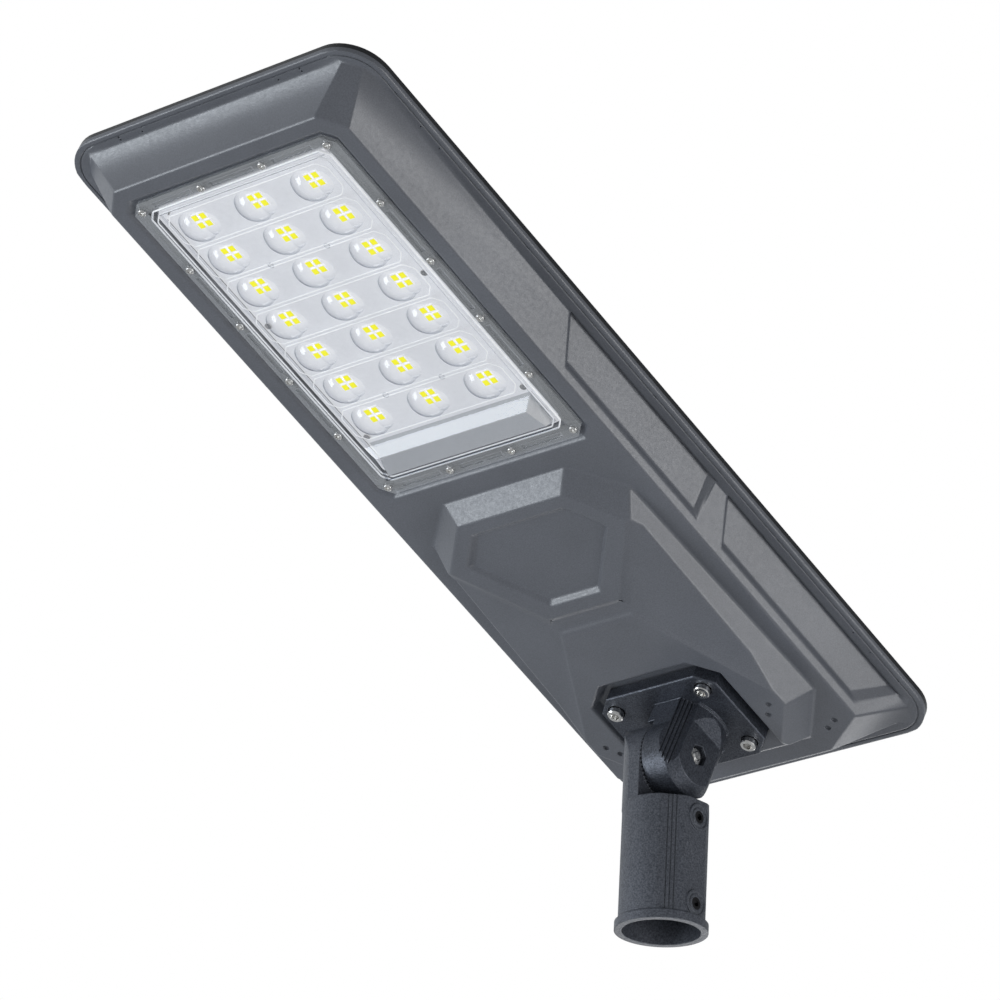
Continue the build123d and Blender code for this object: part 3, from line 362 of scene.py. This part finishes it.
def rounded(node, width, body, slot, material, shortest=1.6, sharper=18.0, segments=3,
            keep=None):
    """A CAD node's shape with its hard edges rounded, as a moulding or casting has them."""
    bm = bmesh.new()
    bm.from_mesh(nodes[node].data)
    bmesh.ops.remove_doubles(bm, verts=bm.verts, dist=2e-6)
    bmesh.ops.dissolve_limit(bm, angle_limit=math.radians(0.35), verts=bm.verts, edges=bm.edges)
    bm.normal_update()
    chosen = []
    for e in bm.edges:
        if len(e.link_faces) != 2 or e.calc_length() < shortest * MM:
            continue
        if e.calc_face_angle() < math.radians(sharper):
            continue
        middle = ROW_TO_HEAD @ ((e.verts[0].co + e.verts[1].co) / 2) / MM
        facing = ROW_TO_HEAD.to_3x3() @ (e.link_faces[0].normal + e.link_faces[1].normal)
        if keep is None or keep(middle, facing):
            chosen.append(e)
    bmesh.ops.bevel(bm, geom=chosen, offset=width * MM, offset_type="OFFSET",
                    segments=segments, profile=0.5, affect="EDGES", clamp_overlap=False,
                    loop_slide=True)
    made = piece(node + "_shell", bm, material, body, slot, node, smooth=38.0)
    weigh = made.modifiers.new("even_shading", "WEIGHTED_NORMAL")
    weigh.keep_sharp = True
    return made


def box_into(bm, centre, size, index=0):
    """Add one block, centred on a point of the head."""
    place = HEAD_TO_ROW @ Matrix.Translation([c * MM for c in centre])
    made = bmesh.ops.create_cube(bm, size=1.0, matrix=place @ Matrix.Diagonal(
        [d * MM for d in size]).to_4x4())
    faces = {f for v in made["verts"] for f in v.link_faces}
    for f in faces:
        f.material_index = index
    return faces


def tube_into(bm, points, radius, sides=8, flat=1.0):
    """Add a thin round bead round a closed loop of the head; flat scales its height."""
    rings = []
    count = len(points)
    for i, p in enumerate(points):
        before = points[i - 1]
        after = points[(i + 1) % count]
        along = (Vector(after) - Vector(before)).normalized()
        side = along.cross(Vector((0, 0, 1)))
        ring = []
        for k in range(sides):
            a = 2 * math.pi * k / sides
            spot = Vector(p) + side * radius * math.cos(a)
            spot.z += radius * flat * math.sin(a)
            ring.append(bm.verts.new(HEAD_TO_ROW @ (spot * MM)))
        rings.append(ring)
    for i in range(count):
        a, b = rings[i], rings[(i + 1) % count]
        for k in range(sides):
            m = (k + 1) % sides
            bm.faces.new((a[k], a[m], b[m], b[k]))


def octagon_path(half_x, y0, y1, cut, z, steps=3):
    """A cut-cornered loop with its corners eased."""
    corners = [(-half_x, y0 + cut), (-half_x + cut, y0), (half_x - cut, y0), (half_x, y0 + cut),
               (half_x, y1 - cut), (half_x - cut, y1), (-half_x + cut, y1), (-half_x, y1 - cut)]
    path = []
    for i, corner in enumerate(corners):
        here = Vector(corner)
        back = (Vector(corners[i - 1]) - here).normalized() * 1.6
        ahead = (Vector(corners[(i + 1) % 8]) - here).normalized() * 1.6
        for s in range(steps + 1):
            t = s / steps
            spot = here + back * (1 - t) ** 2 + ahead * t ** 2
            path.append((spot.x, spot.y, z))
    return path


def in_rim_groove(p):
    """True near the narrow groove that runs round the rim, whose edges stay crisp."""
    inset = min(RIM_HALF[0] - abs(p.x), RIM_HALF[1] - abs(p.y))
    return -0.5 < p.z < 1.5 and 2.0 < inset < 20.0


def led_places():
    for row in range(7):
        for column in (-1, 0, 1):
            yield column * LED_PITCH_X, LED_FIRST_ROW + row * LED_PITCH_Y


def make_chips():
    """Four white packages with a raised yellow phosphor in each LED group."""
    bm = bmesh.new()
    for x, y in led_places():
        for sx in (-0.5, 0.5):
            for sy in (-0.5, 0.5):
                centre = (x + sx * CHIP_PITCH, y + sy * CHIP_PITCH)
                box_into(bm, (*centre, CHIP_LOW + 0.55), (CHIP + 0.9, CHIP + 0.9, 0.9), 0)
                low = box_into(bm, (*centre, CHIP_LOW + 0.25), (CHIP, CHIP, 0.5), 1)
                rims = [e for f in low for e in f.edges]
                bmesh.ops.bevel(bm, geom=list(set(rims)), offset=0.16 * MM, segments=2,
                                affect="EDGES", profile=0.5)
    piece("led_packages", bm, [BOARD_WHITE, PHOSPHOR], "head", "led_chip", "led_chips")


def make_field_border():
    """A thin white border that carries the LED field out to the lens bead."""
    bm = bmesh.new()
    loops = []
    (low, high), (outer, inner) = BORDER_Z, BORDER_INSET
    for inset, z in ((outer, low), (outer, high), (inner, high), (inner, low)):
        path = octagon_path(FIELD_HALF - inset, FIELD_LED_END + inset,
                            FIELD_POLE_END - inset, FIELD_CUT, z)
        loops.append([bm.verts.new(HEAD_TO_ROW @ (Vector(p) * MM)) for p in path])
    for k, loop in enumerate(loops):
        other = loops[(k + 1) % 4]
        for i in range(len(loop)):
            j = (i + 1) % len(loop)
            bm.faces.new((loop[i], loop[j], other[j], other[i]))
    piece("field_border", bm, BOARD_WHITE, "head", "led_board")


def make_lens_details():
    """Beads round the lens field and ridges round each LED row, white with painted highlights, and
    small moulding nubs.
    """
    beads = bmesh.new()
    for inset, radius, z in ((-0.4, 0.75, LENS_FACE - 0.7), (3.2, 0.6, LENS_FIELD - 0.1)):
        tube_into(beads, octagon_path(FIELD_HALF - inset, FIELD_LED_END + inset,
                                      FIELD_POLE_END - inset, FIELD_CUT, z), radius)
    piece("lens_beads", beads, BEAD_PAINTED_HIGHLIGHT, "head", "lens", smooth=60.0)
    ridges = bmesh.new()
    for row in range(7):
        y = LED_FIRST_ROW + row * LED_PITCH_Y
        tube_into(ridges, octagon_path(ROW_HALF[0], y - ROW_HALF[1], y + ROW_HALF[1], ROW_CUT,
                                       LENS_FIELD + 0.05), 0.5, flat=0.5)
    piece("lens_row_ridges", ridges, BEAD_PAINTED_HIGHLIGHT, "head", "lens", smooth=60.0)
    nubs = bmesh.new()
    for x, row in ((-29.5, 1), (29.5, 1), (-29.5, 5), (29.5, 5)):
        spot = (x, LED_FIRST_ROW + (row + 0.5) * LED_PITCH_Y, LENS_FIELD)
        bmesh.ops.create_uvsphere(nubs, u_segments=20, v_segments=10, radius=NUB_R * MM,
                                  matrix=HEAD_TO_ROW @ Matrix.Translation(
                                      [c * MM for c in spot]) @ Matrix.Diagonal((1, 1, 0.35, 1)))
    piece("lens_nubs", nubs, LENS, "head", "lens", smooth=60.0)


rounded("lower_housing", 1.8, "head", "housing", HOUSING,
        keep=lambda p, n: n.z < 0.15 and p.z < 3.0 and not in_rim_groove(p))
make_chips()
make_field_border()
make_lens_details()

# --------------------------------------------------------------------- stage
FLOOR_Z = -2.7
FLOOR_SIZE = 60.0
floor_mesh = bmesh.new()
bmesh.ops.create_grid(floor_mesh, x_segments=2, y_segments=2, size=FLOOR_SIZE)
floor_data = bpy.data.meshes.new("floor")
floor_mesh.to_mesh(floor_data)
floor = bpy.data.objects.new("floor", floor_data)
bpy.context.scene.collection.objects.link(floor)
floor.location = (0, 0, FLOOR_Z)
pale = Graph("pale_floor")
tone = pale.blend(pale.noise(pale.coords(), 3.0), (0.86, 0.86, 0.86), (0.88, 0.88, 0.88))
ground = pale.add("ShaderNodeBsdfPrincipled", {"Base Color": tone, "Roughness": 0.9})
hidden = pale.add("ShaderNodeBsdfTransparent")
under = pale.add("ShaderNodeNewGeometry").outputs["Backfacing"]
floor_data.materials.append(pale.surface(pale.add("ShaderNodeMixShader", {
    0: under, 1: ground.outputs[0], 2: hidden.outputs[0]}).outputs[0]))

world = bpy.data.worlds.new("studio")
bpy.context.scene.world = world
world.use_nodes = True
sky = world.node_tree
sky.nodes.clear()


def sky_node(kind, inputs=None, **settings):
    node = sky.nodes.new(kind)
    for key, value in settings.items():
        setattr(node, key, value)
    for key, value in (inputs or {}).items():
        if isinstance(value, bpy.types.NodeSocket):
            sky.links.new(value, node.inputs[key])
        else:
            node.inputs[key].default_value = value
    return node


direction = sky_node("ShaderNodeTexCoord").outputs["Generated"]
side = sky_node("ShaderNodeVectorMath", {0: direction, 1: (0.55, 0.25, 0.8)},
                operation="DOT_PRODUCT").outputs["Value"]
level = sky_node("ShaderNodeMapRange", {"Value": side, "From Min": -0.7, "From Max": 0.75,
                                        "To Min": 0.95, "To Max": 0.25}).outputs[0]
lit = sky_node("ShaderNodeBackground", {"Color": (0.94, 0.97, 1.0, 1), "Strength": level})
seen = sky_node("ShaderNodeBackground", {"Color": (1, 1, 1, 1), "Strength": 1.0})
ray = sky_node("ShaderNodeLightPath").outputs["Is Camera Ray"]
both = sky_node("ShaderNodeMixShader", {0: ray, 1: lit.outputs[0], 2: seen.outputs[0]})
sky_node("ShaderNodeOutputWorld", {"Surface": both.outputs[0]})

AIM = Vector((0.0, -0.2, 0.3))


def soft_light(name, place, size, power, colour=(1, 1, 1)):
    data = bpy.data.lights.new(name, "AREA")
    data.shape = "RECTANGLE"
    data.size, data.size_y = size
    data.energy = power
    data.color = colour
    lamp = bpy.data.objects.new(name, data)
    bpy.context.scene.collection.objects.link(lamp)
    lamp.location = place
    lamp.rotation_euler = (AIM - Vector(place)).to_track_quat("-Z", "Y").to_euler()
    lamp.visible_camera = False


head_dir = HEAD_TO_ROW.to_3x3()
key = AIM + (head_dir @ Vector((-0.64, -0.52, -0.56))) * 2.6
soft_light("left_soft_box", key, (1.1, 1.1), 25.0, (0.88, 0.94, 1.0))
right = AIM + (head_dir @ Vector((0.85, 0.35, -0.35))) * 2.8
soft_light("right_soft_box", right, (1.8, 1.4), 26.0)
back = AIM + (head_dir @ Vector((-0.42, 0.90, -0.06))) * 2.8
soft_light("back_soft_box", back, (1.2, 1.2), 9.0)

camera_data = bpy.data.cameras.new("camera")
SENSOR_WIDTH = 36.0
FOCAL_LENGTH = 212.65
CAMERA_PLACE = (2.89764, -3.27890, -1.47170)
CAMERA_TURN = (112.7257, -2.7318, 42.1938)     # degrees
camera_data.sensor_width = SENSOR_WIDTH
camera_data.lens = FOCAL_LENGTH
camera_data.clip_end = 200.0
camera = bpy.data.objects.new("camera", camera_data)
bpy.context.scene.collection.objects.link(camera)
camera.location = CAMERA_PLACE
camera.rotation_euler = Euler([math.radians(a) for a in CAMERA_TURN], "XYZ")
bpy.context.scene.camera = camera
bpy.context.scene.view_settings.view_transform = "Standard"
